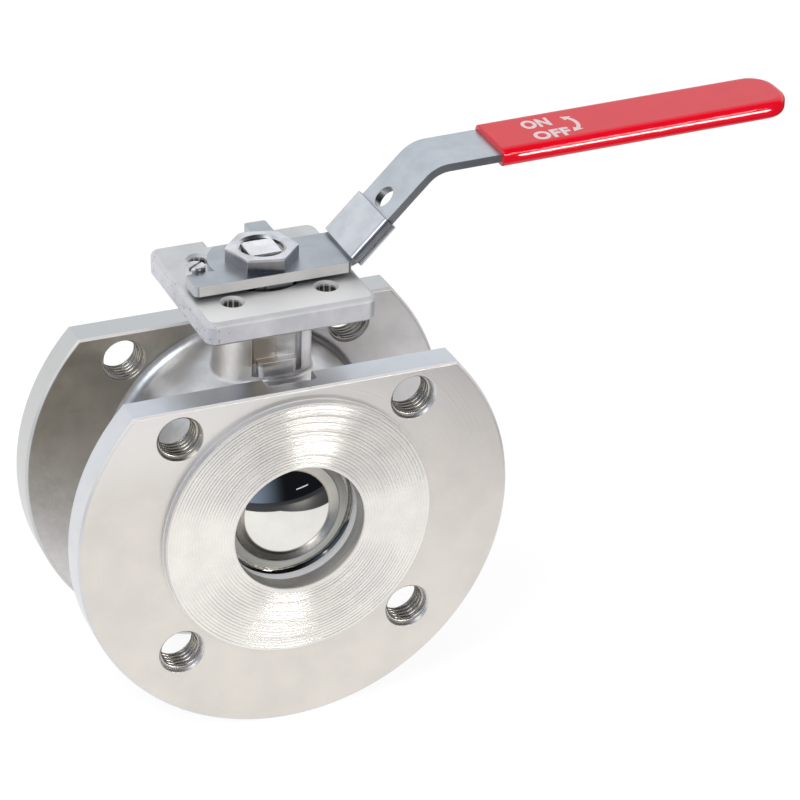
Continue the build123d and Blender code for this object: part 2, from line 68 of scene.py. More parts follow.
# %% [markdown]
# ## Sizes that later steps share
# They are measured on the frame, so the added pieces follow if the valve is designed anew. The
# record's mounts say where the flange holes are, and the corners of the body's own mesh say the
# rest: the raised face is what lies foremost, and the flange is what reaches furthest out.

# %% Shared sizes
mounts = {mount["name"]: mount for mount in frame["record"]["mounts"]}
slack = 0.05 * mm
corner_room = 1.5 * mm


def points_of(name):
    """The corners of a piece's mesh."""
    return [vertex.co for vertex in frame["nodes"][name].data.vertices]


def off_axis(point):
    """Distance of a point from the pipe axis."""
    return hypot(point.x, point.z)


body_points = points_of("body")
body_low, body_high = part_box("body")
face_y = body_low.y
back_y = body_high.y
half_length = (back_y - face_y) / 2
stem_y = (face_y + back_y) / 2
flange_r = body_high.x
pad_top = body_high.z
raised_face_r = max(off_axis(point) for point in body_points if point.y < face_y + slack)
flange_face_y = min(point.y for point in body_points if off_axis(point) > raised_face_r + corner_room)
flange_back_y = max(
    point.y for point in body_points
    if off_axis(point) > flange_r - corner_room and point.y < stem_y and point.z < 0
)
flat_z = max(point.z for point in body_points if point.y < flange_face_y + corner_room)
pad_points = [point for point in body_points if point.z > flat_z + corner_room]
pad_half = max(abs(point.x) for point in pad_points)
pad_under = min(point.z for point in pad_points if abs(point.x) > pad_half - slack)

bolt_dims = mounts["inlet_flange_bolts"]["dims"]
bolt_circle_r = bolt_dims["pcd_mm"] / 2 * mm
tap_r = bolt_dims["hole_r_mm"] * mm
tap_mouth_y = mounts["inlet_flange_bolts"]["pos_m"][1]
bore_r = mounts["inlet_port"]["dims"]["r_mm"] * mm
print("raised face radius", round(raised_face_r / mm, 2), "flange from", round(flange_face_y / mm, 2),
      "to", round(flange_back_y / mm, 2), "flat top at", round(flat_z / mm, 2),
      "pad from", round(pad_under / mm, 2), "to", round(pad_top / mm, 2), "mm")

# %% [markdown]
# ## The camera
# The photograph was taken from the left, above, and well away with a long lens, so lines that run
# along the pipe hardly draw together. A camera can be aimed with a constraint, but then its roll
# can't be stated. Here its three axes are worked out from azimuth, elevation and roll, and its
# place from how far it stands back from the ball's centre.

# %% Camera
view_azimuth = radians(-23.51)
view_elevation = radians(29.01)
view_roll = radians(1.58)
view_distance = 1.25567
view_sideways = 0.05129
view_upwards = 0.02817
view_lens = 153.3

backwards = Vector((
    sin(view_azimuth) * cos(view_elevation),
    -cos(view_azimuth) * cos(view_elevation),
    sin(view_elevation),
))
level_right = Vector((0, 0, 1)).cross(backwards).normalized()
level_up = backwards.cross(level_right)
right = level_right * cos(view_roll) + level_up * sin(view_roll)
up = level_up * cos(view_roll) - level_right * sin(view_roll)
ball_centre = Vector((0, stem_y, 0))
camera_place = ball_centre + right * view_sideways + up * view_upwards + backwards * view_distance
turn = Matrix((right, up, backwards)).transposed().to_4x4()
camera = bpy.data.objects.new("camera", bpy.data.cameras.new("camera"))
camera.data.lens = view_lens
camera.matrix_world = Matrix.Translation(camera_place) @ turn
bpy.context.scene.collection.objects.link(camera)
bpy.context.scene.camera = camera
print("camera at", [round(value / mm) for value in camera_place], "mm")

# %% [markdown]
# ## Shader sums as plain expressions
# Wiring nodes by hand hides what a material does. The class below wraps one output socket, so
# that `1 - mask` or `grain * 0.2 + 0.3` adds the Math nodes by itself. Everything that isn't a
# sum of numbers, such as a noise or a mix of colours, comes from `node`, which takes the node's
# type, its settings and what goes into its sockets.

# %% Socket arithmetic
def sum_node(operation, swapped=False):
    """A method that adds one Math node; swapped puts the signal itself second."""
    def method(self, other=0.0):
        first, second = (other, self) if swapped else (self, other)
        return self.wiring.node("Math", {"operation": operation}, {0: first, 1: second})
    return method


class Signal:
    """One output of a shader node that takes part in sums."""

    def __init__(self, wiring, socket):
        self.wiring = wiring
        self.socket = socket

    __add__ = sum_node("ADD")
    __radd__ = __add__
    __sub__ = sum_node("SUBTRACT")
    __rsub__ = sum_node("SUBTRACT", swapped=True)
    __mul__ = sum_node("MULTIPLY")
    __rmul__ = __mul__
    __lt__ = sum_node("LESS_THAN")
    __gt__ = sum_node("GREATER_THAN")
    __abs__ = sum_node("ABSOLUTE")
    either = sum_node("MAXIMUM")
    both = sum_node("MINIMUM")
    root = sum_node("SQRT")
    wave = sum_node("SINE")


# %% [markdown]
# `Wiring` is one tree of nodes, of a material or of the world. `blend` mixes two colours, `ramp`
# turns a value into a soft mask, and `split` gives the three parts of a vector.

# %% A tree of nodes
def solid(colour):
    """A colour for a socket; a signal passes through."""
    return colour if isinstance(colour, Signal) else (*colour, 1.0)


class Wiring:
    """A tree of nodes, with helpers that add and wire them."""

    def __init__(self, tree):
        self.tree = tree

    def node(self, kind, settings=None, sockets=None, output=0):
        made = self.tree.nodes.new("ShaderNode" + kind)
        for name, value in (settings or {}).items():
            setattr(made, name, value)
        for name, value in (sockets or {}).items():
            if isinstance(value, Signal):
                self.tree.links.new(value.socket, made.inputs[name])
            else:
                made.inputs[name].default_value = value
        return Signal(self, made.outputs[output])

    def split(self, vector):
        parts = self.node("SeparateXYZ", sockets={0: vector})
        return [Signal(self, socket) for socket in parts.socket.node.outputs]

    def ramp(self, value, low, high):
        """0 below low and 1 above high, smooth between."""
        return self.node(
            "MapRange",
            {"interpolation_type": "SMOOTHSTEP"},
            {"Value": value, "From Min": low, "From Max": high},
        )

    def blend(self, factor, first, second):
        """First colour where factor is 0, second where it is 1."""
        return self.node(
            "Mix",
            {"data_type": "RGBA", "clamp_factor": True},
            {0: factor, 6: solid(first), 7: solid(second)},
            output=2,
        )


# %% [markdown]
# A `Finish` is one material. Its constants go straight onto the shader's own sockets; only what
# changes over the surface is linked. `noise` is cloudy variation with the size of its clouds in
# metres. `edges` gives normals as if every sharp edge had been broken with a small radius, and a
# mask of those edges, because handling rubs them bright.

# %% The finish class
class Finish(Wiring):
    """One material."""

    cloud_levels = (0.3, 0.7)
    edge_samples = 6
    edge_levels = (0.02, 0.18)
    groove_detail = 2.0

    def __init__(self, name, **constants):
        self.material = bpy.data.materials.new(name)
        self.material.use_nodes = True
        super().__init__(self.material.node_tree)
        self.shader = self.tree.nodes["Principled BSDF"]
        for socket_name, value in constants.items():
            self.shader.inputs[socket_name.replace("_", " ")].default_value = value
        self.place = self.node("TexCoord", output="Object")
        self.x, self.y, self.z = self.split(self.place)

    def link(self, **signals):
        for socket_name, signal in signals.items():
            self.tree.links.new(signal.socket, self.shader.inputs[socket_name.replace("_", " ")])

    def vector(self, operation, sockets, output=0):
        """A sum or a product of vectors."""
        return self.node("VectorMath", {"operation": operation}, sockets, output)

    def noise(self, size, detail=3.0, roughness=0.55, stretch=(1, 1, 1)):
        """Cloudy values from 0 to 1, whose clouds are about size across, times stretch."""
        place = self.vector("MULTIPLY", {0: self.place, 1: [1 / factor for factor in stretch]})
        sockets = {"Vector": place, "Scale": 1 / size, "Detail": detail, "Roughness": roughness}
        return self.node("TexNoise", sockets=sockets)

    def spread(self, cloudy):
        """Cloudy values pulled apart, because most of them lie near the middle."""
        return self.ramp(cloudy, *self.cloud_levels)

    def off_pipe(self):
        """Distance from the pipe axis."""
        return (self.x * self.x + self.z * self.z).root()

    def bump(self, height, depth, under):
        """Normals of a surface that rises by depth where height is 1, over the normals under it."""
        return self.node("Bump", sockets={"Height": height, "Distance": depth, "Normal": under})

    def edges(self, radius):
        """Normals of softened edges, and a mask that is 1 on them."""
        softened = self.node("Bevel", {"samples": self.edge_samples}, {"Radius": radius})
        plain = self.node("NewGeometry", output="True Normal")
        likeness = self.vector("DOT_PRODUCT", {0: softened, 1: plain}, "Value")
        return softened, self.ramp(1 - likeness, *self.edge_levels)

    def turned(self, normals, steepness, fineness):
        """Normals of the fine grooves that a lathe leaves about the pipe axis.

        Each groove tilts the surface towards the axis or away from it, by a slope that is random
        from one radius to the next.
        """
        outwards = self.node("CombineXYZ", sockets={0: self.x, 2: self.z})
        outwards = self.vector("NORMALIZE", {0: outwards})
        slopes = self.node(
            "TexNoise",
            {"noise_dimensions": "1D"},
            {"W": self.off_pipe(), "Scale": 1 / fineness, "Detail": self.groove_detail},
        )
        tilt = self.vector("SCALE", {0: outwards, "Scale": (slopes - 0.5) * (2 * steepness)})
        return self.vector("NORMALIZE", {0: self.vector("ADD", {0: normals, 1: tilt})})


# %% [markdown]
# ## Body: one investment casting, machined where it seals
# The body is cast in stainless steel and blasted, so most of it is fine-grained and matt, with a
# faint brown tone. Then the lathe has faced both flanges and their rims, and a mill has cut the
# flat tops and the pad. One material can do all of this, because the places where a tool has been
# are plain planes and cylinders: a mask for each is a comparison of coordinates.

# %% Where a tool has been
plane_room = 0.1 * mm
faced_room = 0.15 * mm
rim_skin = 1.2 * mm
flat_skin = 0.4 * mm
pad_fillet = 2 * mm

cast = Finish("cast_and_machined_stainless", Metallic=1.0)
from_axis = cast.off_pipe()
from_middle = abs(cast.y - stem_y)
on_flange = from_middle > stem_y - flange_back_y - plane_room
faced = from_middle > half_length - flange_face_y - faced_room
rim = (from_axis > flange_r - rim_skin).both(on_flange)
flat_top = (cast.z > flat_z - flat_skin).both(on_flange)
below_pad = 1 - (cast.z > pad_under - pad_fillet)
on_pad = cast.z > pad_under - plane_room
pad_face = cast.z > pad_top - slack
machined = faced.either(rim).either(flat_top).both(below_pad).either(pad_face)
print("a tool has been on faces, rims, flat tops and pad")

# %% [markdown]
# The colour comes from pairs of tones, and clouds drift between the two of a pair, so that no
# place looks painted. It is warm where the lathe has faced, cooler on rims and flat tops, and
# brown-grey where the cast skin still stands. Two places are darker, because little light gets
# there: between the flanges to the left and above, and the left half of the pocket in the neck.
# A few pits stay in the skin beside the pad, as in the photograph.

# %% Tones of the body
tones = {
    "cast skin": ((0.62, 0.60, 0.58), (0.80, 0.80, 0.82)),
    "between the flanges": ((0.58, 0.57, 0.57), (0.68, 0.665, 0.66)),
    "in their shade": ((0.37, 0.34, 0.29), (0.46, 0.43, 0.37)),
    "sides of the pad": ((0.55, 0.55, 0.585), (0.68, 0.68, 0.705)),
    "top of the pad": ((0.68, 0.67, 0.65), (0.76, 0.75, 0.73)),
    "faced": ((0.60, 0.57, 0.53), (0.65, 0.615, 0.57)),
    "rims and flat tops": ((0.56, 0.575, 0.60), (0.61, 0.62, 0.64)),
}
pocket_brown = (0.42, 0.37, 0.30)
painted_light_high_on_face = (0.74, 0.715, 0.69)
rear_flange_shade_grey = (0.51, 0.515, 0.51)
painted_light_pad_front_tone = (0.96, 0.93, 0.89)
pit_dark = (0.16, 0.15, 0.14)
shade_upwards = (-50 * mm, 35 * mm)
shade_leftwards = (-20 * mm, 30 * mm)
pocket_begins = (-14 * mm, -9 * mm)
pocket_ends = (-4 * mm, 2 * mm)
pocket_share = 0.8
face_upwards = (15 * mm, 55 * mm)
pad_front_ends = (stem_y - 19 * mm, stem_y - 13.5 * mm)
pitted_until = (-pad_half + 2 * mm, -pad_half + 12 * mm)
pit_levels = (0.64, 0.70)
pit_share = 0.7
pit_size = 1.3 * mm
cloud_size = 16 * mm
blotch_size = 3.2 * mm
grain_size = 0.45 * mm

clouds = cast.spread(cast.noise(cloud_size, detail=4))
blotches = cast.noise(blotch_size, detail=5, roughness=0.65)
grain = cast.noise(grain_size, detail=2)


def cloudy(place):
    """The tones of a place on the body, mixed by the clouds."""
    return cast.blend(clouds, *tones[place])


pad_left = 1 - cast.ramp(cast.x, *pitted_until)
pits = cast.ramp(cast.noise(pit_size, detail=1), *pit_levels) * pad_left * on_pad
inner_shade = cast.ramp(cast.z, *shade_upwards) * cast.ramp(0 - cast.x, *shade_leftwards)
inner_tone = cast.blend(inner_shade, cloudy("between the flanges"), cloudy("in their shade"))
pocket = cast.ramp(cast.x, *pocket_begins) * (1 - cast.ramp(cast.x, *pocket_ends))
pocket = pocket * (cast.z > flat_z) * pocket_share
cast_tone = cast.blend(pocket, cloudy("cast skin"), pocket_brown)
cast_tone = cast.blend(on_flange, cast_tone, inner_tone)
skin_tone = cast.blend(on_pad, cast_tone, cloudy("sides of the pad"))
skin_tone = cast.blend(pits * pit_share, skin_tone, pit_dark)
# Painted light: the faced flanges get lighter towards the top.
faced_tone = cast.blend(cast.ramp(cast.z, *face_upwards), cloudy("faced"), painted_light_high_on_face)
# Painted shade: the rear flange's rims and flat top get a darker grey than the front flange's.
cut_tone = cast.blend(cast.y > stem_y, cloudy("rims and flat tops"), rear_flange_shade_grey)
# Painted light: the front strip of the pad's top is painted near white.
pad_front = 1 - cast.ramp(cast.y, *pad_front_ends)
pad_tone = cast.blend(pad_front, cloudy("top of the pad"), painted_light_pad_front_tone)
tool_tone = cast.blend(faced, cast.blend(pad_face, cut_tone, pad_tone), faced_tone)
clean_tone = cast.blend(machined, skin_tone, tool_tone)
print("the body has", len(tones), "pairs of tones")

# %% [markdown]
# Some small places catch the eye on the real valve. The pad under the lever's front strip gets a
# faint painted shade. The walls of the pad's holes get bright and dark lines, painted highlights and
# shade. The edges of the flanges, of the bore and of the pad get painted white highlights, and so
# does the rough wall of the step round the raised face. A lamp for each of them would light the rest
# as well, so masks from the frame's own sizes say where they are, and the material is duller and
# brighter there.

# %% Painted shade under the lever, hole lines and painted edge highlights
strip_right = 28 * mm
strip_back_y = stem_y - 4 * mm
under_lever_shade_edge = 1.5 * mm
under_lever_shade_share = 0.3
painted_shade_dark = (0.10, 0.09, 0.085)
pad_hole_angle = radians(45)
hole_line_pitch = 1.9 * mm
hole_line_levels = (0.2, 0.9)
hole_shade_tone = (0.16, 0.15, 0.13)
hole_highlight_tone = (0.80, 0.79, 0.77)
edge_radius = 0.35 * mm
edge_reach = 0.8 * mm
lit_upwards = (5 * mm, 40 * mm)
pad_round_depth = 1.8 * mm
pad_round_share = 0.5
step_inside = 0.1 * mm
step_outside = 0.3 * mm

lever_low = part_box("lever")[0]
# Painted shade: the pad's top under the lever's front strip is darkened, as if shaded by the lever.
strip_depth = (cast.y - lever_low.y).both(strip_back_y - cast.y)
strip_depth = strip_depth.both(cast.x - lever_low.x).both(strip_right - cast.x)
under_lever_shade = cast.ramp(strip_depth, 0.0, under_lever_shade_edge) * pad_face
under_lever_shaded_tone = cast.blend(under_lever_shade * under_lever_shade_share, clean_tone, painted_shade_dark)

pad_dims = mounts["actuator_pad_bolts"]["dims"]
pad_hole_at = pad_dims["pcd_mm"] / 2 * mm * cos(pad_hole_angle)
past_hole_x = abs(cast.x) - pad_hole_at
past_hole_y = abs(cast.y - stem_y) - pad_hole_at
from_hole = (past_hole_x * past_hole_x + past_hole_y * past_hole_y).root()
hole_wall = on_pad * (1 - (from_hole > pad_dims["hole_r_mm"] * mm + slack)) * (1 - pad_face)
# Painted highlights and shade: bright and dark lines across the walls of the pad's holes.
hole_highlight_lines = cast.ramp((past_hole_x * (2 * pi / hole_line_pitch)).wave(), *hole_line_levels)
body_tone = cast.blend(hole_wall, under_lever_shaded_tone, cast.blend(hole_highlight_lines, hole_shade_tone, hole_highlight_tone))

edge_normals, worn = cast.edges(edge_radius)
# Painted highlights: the outer edges of the flanges, brighter towards the top, the pad's rounded top edge
# and the bore's edge are painted bright; the rubbed edges are joined to them.
off_face_edge = abs(from_middle - (stem_y - flange_face_y))
off_back_edge = abs(from_middle - (stem_y - flange_back_y))
near_edge = 1 - (off_face_edge.both(off_back_edge) > edge_reach)
outermost = (from_axis > flange_r - edge_reach).either(cast.z > flat_z - edge_reach)
painted_edge_highlight = near_edge * outermost * cast.ramp(cast.z, *lit_upwards) * below_pad
painted_pad_round_highlight = (cast.z > pad_top - pad_round_depth) * (1 - pad_face)
painted_bore_edge_highlight = (from_middle > half_length - edge_reach) * (1 - (from_axis > bore_r + edge_reach))
wear_and_painted_highlight = worn.either(painted_edge_highlight).either(painted_pad_round_highlight * pad_round_share).either(painted_bore_edge_highlight)
# Painted highlight: the wall of the step round the raised face is painted bright.
on_step = (from_axis > raised_face_r - step_inside) * faced
on_step = on_step * (1 - (from_axis > raised_face_r + step_outside))
print("oil, holes and edges are drawn")

# %% [markdown]
# Roughness and relief come last. The cast skin is blasted and uneven at two scales. A mill has left
# straight lines on flat tops and pad, a lathe has left lines round the rims, and the faces get
# the lathe's grooves as tilted normals, because those are too fine for a bump.

# %% Roughness and relief of the body
cast_rough = 0.30
cast_rough_spread = 0.20
pad_side_rougher = 0.14
cut_rough = 0.25
cut_rough_spread = 0.12
pad_face_rougher = 0.35
step_rougher = 0.35
shine_rougher = 0.3
shine_brighter = 0.8
shine_duller = 0.7
wear_and_highlight_tone = (0.90, 0.89, 0.88)
skin_grain = 0.35
pit_depth = 0.8
skin_depth = 0.12 * mm
mill_pitch = 1.6 * mm
mill_wander = 3
rim_pitch = 1.4 * mm
rim_wander = 2
rim_mark_share = 0.6
mark_depth = 0.004 * mm
face_steepness = 0.10
face_fineness = 0.3 * mm

cast_roughness = cast_rough + blotches * cast_rough_spread + on_pad * pad_side_rougher
rougher = pad_face * pad_face_rougher + on_step * step_rougher
cut_roughness = cut_rough + blotches * cut_rough_spread + rougher
surface_roughness = cast_roughness + machined * (cut_roughness - cast_roughness)
skin_height = (grain * skin_grain + blotches - pits * pit_depth) * (1 - machined)
cast_normals = cast.bump(skin_height, skin_depth, edge_normals)
milling = (cast.x * (2 * pi / mill_pitch) + blotches * mill_wander).wave()
rim_lines = (cast.y * (2 * pi / rim_pitch) + blotches * rim_wander).wave()
tool_marks = pad_face.either(flat_top) * milling + rim * rim_lines * rim_mark_share
cut_normals = cast.bump(tool_marks, mark_depth, cast_normals)
# Rubbed edges and the painted highlights lighten the colour, dull the metal and roughen it.
cast.link(
    Base_Color=cast.blend((wear_and_painted_highlight * shine_brighter).either(on_step), body_tone, wear_and_highlight_tone),
    Metallic=1 - wear_and_painted_highlight * shine_duller,
    Roughness=surface_roughness + wear_and_painted_highlight * shine_rougher,
    Normal=cast.turned(cut_normals, faced * face_steepness, face_fineness),
)
print("body finish has", len(cast.tree.nodes), "nodes")


# %% [markdown]
# ## Machined, sheet and polished steel
# The smaller pieces each need one kind of surface only. A function makes them, with the grain's
# direction as its main choice: turned pieces show rings, rolled sheet shows faint lines along the
# strip, and a polished ball shows next to nothing. Two pieces also get painted light and shade from
# place to place. The lever's base is painted darker than its shank, its cut front edge gets a painted
# highlight and is duller there, its underside gets painted shade, and the nut's sides get painted
# shade, darker than its top.

# %% Painted light and shade of lever and nut
nut_low, nut_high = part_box("lever_nut")
nut_chamfer = 0.9 * mm
# Painted shade on the nut's sides and the lever's base and underside, and a painted highlight on the
# lever's cut front edge.
nut_side_share = 0.55
painted_nut_side_shade = (0.10, 0.10, 0.11)
lever_base_top = lever_low.z + 6 * mm
base_share = 0.22
painted_base_shade = (0.12, 0.12, 0.13)
cut_edge_share = 0.9
painted_edge_highlight_tone = (0.90, 0.885, 0.865)
cut_edge_dull = 0.7


def lever_painted_shading(finish, colour):
    """Painted shade on the base, darker than the shank, a painted highlight along the front edge, and
    painted shade on the underside.
    """
    base = 1 - (finish.z > lever_base_top)
    front_edge_highlight = base * (1 - (finish.y > lever_low.y + slack))
    colour = finish.blend(base * base_share, colour, painted_base_shade)
    colour = finish.blend(front_edge_highlight * cut_edge_share, colour, painted_edge_highlight_tone)
    colour = finish.blend(finish.z < lever_low.z + slack, colour, painted_shade_dark)
    return colour, front_edge_highlight * cut_edge_dull


def nut_painted_shade(finish, colour):
    """Painted shade: sides darker than the top, and nowhere dull."""
    sides = 1 - (finish.z > nut_high.z - nut_chamfer)
    return finish.blend(sides * nut_side_share, colour, painted_nut_side_shade), 0.0


# %% [markdown]
# The plain finish is mixed by one function. A table lists what differs from one steel to the next,
# down to the pieces that take it, so that a new piece needs one more name and no more code.

# %% Plain steel finishes
drift_size = 9 * mm
worn_dull = 0.5
worn_share = 0.7
worn_tone = (0.74, 0.74, 0.74)


def steel(name, dark, light, roughness, spread, grain=0.5 * mm, stretch=(1, 1, 1), depth=0.01 * mm,
          edge=0.25 * mm, painted_shading=None):
    """A steel surface whose colour drifts from dark to light, with fine directed grain.

    The last argument, if given, is a function that paints light and shade into the colour from
    place to place, and says how dull each place is.
    """
    finish = Finish(name, Metallic=1.0)
    drift = finish.noise(drift_size, detail=4)
    lines = finish.noise(grain, detail=4, stretch=stretch)
    softened, worn = finish.edges(edge)
    colour = finish.blend(finish.spread(drift), dark, light)
    dull = worn * worn_dull
    if painted_shading:
        colour, shaded_dull = painted_shading(finish, colour)
        dull = dull.either(shaded_dull)
    finish.link(
        Base_Color=finish.blend(worn * worn_share, colour, worn_tone),
        Metallic=1 - dull,
        Roughness=roughness + spread * (drift * 0.5 + lines * 0.5),
        Normal=finish.bump(lines, depth, softened),
    )
    return finish


on_nut = {"grain": 1.0 * mm, "depth": 0.04 * mm}
rolled = {"stretch": (8, 1, 8), "depth": 0.008 * mm}
# each row: name, dark and light tone, roughness and its spread, what differs, and the pieces
rows = (
    ("turned_stainless", (0.60, 0.59, 0.58), (0.72, 0.71, 0.70), 0.20, 0.18, {},
     ("end_retainer", "gland_ring")),
    ("thread_stainless", (0.38, 0.35, 0.31), (0.60, 0.57, 0.52), 0.18, 0.16, {"edge": 0.05 * mm}, ()),
    ("nut_stainless", (0.46, 0.46, 0.47), (0.72, 0.71, 0.72), 0.18, 0.22, on_nut,
     ("stop_pin", "gland_nut")),
    ("lever_nut_stainless", (0.50, 0.50, 0.51), (0.72, 0.71, 0.72), 0.18, 0.22,
     {"painted_shading": nut_painted_shade, **on_nut}, ("lever_nut",)),
    ("sheet_stainless", (0.42, 0.445, 0.47), (0.50, 0.52, 0.545), 0.26, 0.16, rolled,
     ("tab_washer",)),
    ("lever_stainless", (0.44, 0.465, 0.49), (0.52, 0.54, 0.565), 0.26, 0.16,
     {"painted_shading": lever_painted_shading, **rolled}, ("lever",)),
    ("slide_stainless", (0.50, 0.515, 0.54), (0.60, 0.61, 0.635), 0.22, 0.16, rolled,
     ("lock_slide",)),
    ("mirror_steel", (0.67, 0.665, 0.625), (0.71, 0.70, 0.66), 0.02, 0.03, {"depth": 0.0003 * mm},
     ("ball", "antistatic_ball")),
    ("sawn_stainless", (0.72, 0.71, 0.71), (0.95, 0.94, 0.94), 0.25, 0.25,
     {"grain": 0.9 * mm, "depth": 0.22 * mm}, ("stem",)),
    ("spring_steel", (0.40, 0.39, 0.38), (0.50, 0.49, 0.48), 0.30, 0.15, {},
     ("lower_disc_spring", "upper_disc_spring", "antistatic_spring")),
    ("seam_stainless", (0.55, 0.30, 0.12), (0.95, 0.72, 0.46), 0.35, 0.20, {}, ()),
)
steels = {}
finish_of = {}
for name, dark, light, roughness, spread, others, pieces in rows:
    steels[name] = steel(name, dark, light, roughness, spread, **others)
    for piece in pieces:
        finish_of[piece] = steels[name]
print("steel finishes:", len(steels))

# %% [markdown]
# The sealing faces are turned with fine grooves, and those give the fans of light above and below
# the bore. Bump would lose them, because they are finer than a pixel, so this finish works out
# the grooves' normals from the radius.

# %% Turned sealing face
seal_steepness = 0.95
seal_fineness = 0.06 * mm
seal_drift_size = 12 * mm
seal_tones = ((0.70, 0.68, 0.65), (0.77, 0.745, 0.70))
seal_rough = 0.15
seal_rough_spread = 0.10

seal_face = Finish("turned_sealing_face", Metallic=1.0)
seal_drift = seal_face.noise(seal_drift_size, detail=4)
seal_normals = seal_face.node("NewGeometry", output="Normal")
seal_face.link(
    Base_Color=seal_face.blend(seal_face.spread(seal_drift), *seal_tones),
    Roughness=seal_rough + seal_drift * seal_rough_spread,
    Normal=seal_face.turned(seal_normals, seal_steepness, seal_fineness),
)
print("sealing face has", len(seal_face.tree.nodes), "nodes")

# %% [markdown]
# ## Plastic, seal plastic and rubber
# The grip is dipped: the lever's end is hung in liquid plastic, which leaves a glossy, slightly
# uneven skin. Very broad bump makes highlights wander as they do on a dipped skin. The seals are
# white and waxy, with a little light inside. A dark ring shows next to the ball, so the last
# millimetres of the seat's wall get a dark, smooth, metallic ring: a painted reflection of the
# ball's mirror image. The piece stays whole.

# %% Plastic finishes
grip_rough = 0.02
grip_rough_spread = 0.04
grip_swell = 0.02 * mm
grip_edge = 0.4 * mm

grip_plastic = Finish("dipped_red_plastic", IOR=1.42)
skin = grip_plastic.noise(9 * mm, detail=1)
pores = grip_plastic.noise(0.7 * mm, detail=2)
grip_plastic.link(
    Base_Color=grip_plastic.blend(skin, (0.79, 0.002, 0.014), (0.86, 0.006, 0.026)),
    Roughness=grip_rough + pores * grip_rough_spread,
    Normal=grip_plastic.bump(skin, grip_swell, grip_plastic.edges(grip_edge)[0]),
)

wax_rough = 0.28
wax_rough_spread = 0.15
wax_swell = 0.01 * mm
lip_radius = 0.2 * mm
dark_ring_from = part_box("front_seat")[0].y + 4.2 * mm
dark_ring_blur = 0.2 * mm
dark_ring_smoother = 0.24
painted_reflection_tone = (0.55, 0.55, 0.55)


def seal(name, dark, light, inner_ring, **constants):
    """A waxy white finish; inner_ring says whether the wall next to the ball gets a dark metallic ring, a
    painted reflection.
    """
    finish = Finish(name, **constants)
    veil = finish.noise(4 * mm)
    colour = finish.blend(veil, dark, light)
    roughness = wax_rough + veil * wax_rough_spread
    if inner_ring:
        # Painted reflection: the seat's wall next to the ball turns dark, smooth and metallic.
        depth = half_length - abs(finish.y - stem_y)
        dark_ring = finish.ramp(depth, dark_ring_from, dark_ring_from + dark_ring_blur)
        colour = finish.blend(dark_ring, colour, painted_reflection_tone)
        roughness = roughness - dark_ring * dark_ring_smoother
        finish.link(Metallic=dark_ring)
    normals = finish.bump(veil, wax_swell, finish.edges(lip_radius)[0])
    finish.link(Base_Color=colour, Roughness=roughness, Normal=normals)
    return finish


seal_plastic = seal("white_seal_plastic", (0.80, 0.80, 0.80), (0.88, 0.88, 0.89), False,
                    Subsurface_Weight=0.2, Subsurface_Scale=0.001)
seat_plastic = seal("seat_with_painted_reflection_ring", (0.93, 0.94, 0.96), (0.98, 0.98, 1.0), True)

rubber_rough = 0.5
rubber_rough_spread = 0.2

rubber = Finish("black_rubber")
dust = rubber.noise(1 * mm)
rubber.link(
    Base_Color=rubber.blend(dust, (0.015, 0.015, 0.015), (0.03, 0.03, 0.03)),
    Roughness=rubber_rough + dust * rubber_rough_spread,
    Normal=rubber.bump(dust, wax_swell, rubber.node("NewGeometry", output="Normal")),
)

ink_rough = 0.30
ink_rough_spread = 0.15
wear_levels = (0.50, 0.80)

print_ink = Finish("pale_print", IOR=1.45)
wear = print_ink.noise(0.8 * mm, detail=4)
worn_ink = print_ink.ramp(wear, *wear_levels)
print_ink.link(
    Base_Color=print_ink.blend(worn_ink, (0.90, 0.76, 0.76), (0.84, 0.56, 0.56)),
    Roughness=ink_rough + wear * ink_rough_spread,
)
print("plastics are mixed")

# %% [markdown]
# Every piece of the frame now takes its finish. A piece's first material slot is enough, because
# each piece is made of one stuff.

# %% Give the frame's pieces their finishes
finish_of.update({
    "body": cast,
    "grip": grip_plastic,
    "stem_o_ring": rubber,
    "front_seat": seat_plastic,
    "rear_seat": seat_plastic,
})
for name, piece in frame["nodes"].items():
    piece.data.materials.clear()
    piece.data.materials.append(finish_of.get(name, seal_plastic).material)
print(len(frame["nodes"]), "pieces have a finish")


# %% [markdown]
# ## A helper for meshes
# Most added pieces are bands: rows of points joined by quads, closed at their ends. One function
# gives the quads, and another makes the object, shades it, gives it its finish and lets it ride
# on the body that carries it.

# %% Mesh helper
def add_mesh(name, points, faces, finish, body, smooth=True):
    mesh = bpy.data.meshes.new(name)
    mesh.from_pydata(points, [], faces)
    mesh.validate()
    mesh.materials.append(finish.material)
    for face in mesh.polygons:
        face.use_smooth = smooth
    piece = bpy.data.objects.new(name, mesh)
    bpy.context.scene.collection.objects.link(piece)
    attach(piece, body)
    return piece


def band_faces(rows, columns, closed_rows, closed_columns):
    """Quads between rows of points; a closed way joins its last row or column to its first."""
    faces = []
    for row in range(rows if closed_rows else rows - 1):
        for column in range(columns if closed_columns else columns - 1):
            next_row = (row + 1) % rows
            next_column = (column + 1) % columns
            faces.append((
                row * columns + column,
                row * columns + next_column,
                next_row * columns + next_column,
                next_row * columns + column,
            ))
    return faces


# %% [markdown]
# ## Turned rings on the sealing faces
# A lathe leaves grooves on the raised face, which grip the gasket. A bump map could draw them,
# but their steep walls mirror another part of the room than the face does, and that is what makes
# the fine dark lines in the photograph. So the grooves are a mesh: a thin plate with the profile
# of flats and sharp valleys, turned about the pipe axis. It stands a few hundredths of a
# millimetre over the face, and its skirts run down into the metal.

# %% Grooved faces
groove_pitch = 1.2 * mm
groove_width = 0.20 * mm
groove_depth = 0.055 * mm
plate_lift = 0.065 * mm
plate_root = 0.3 * mm
ring_steps = 180


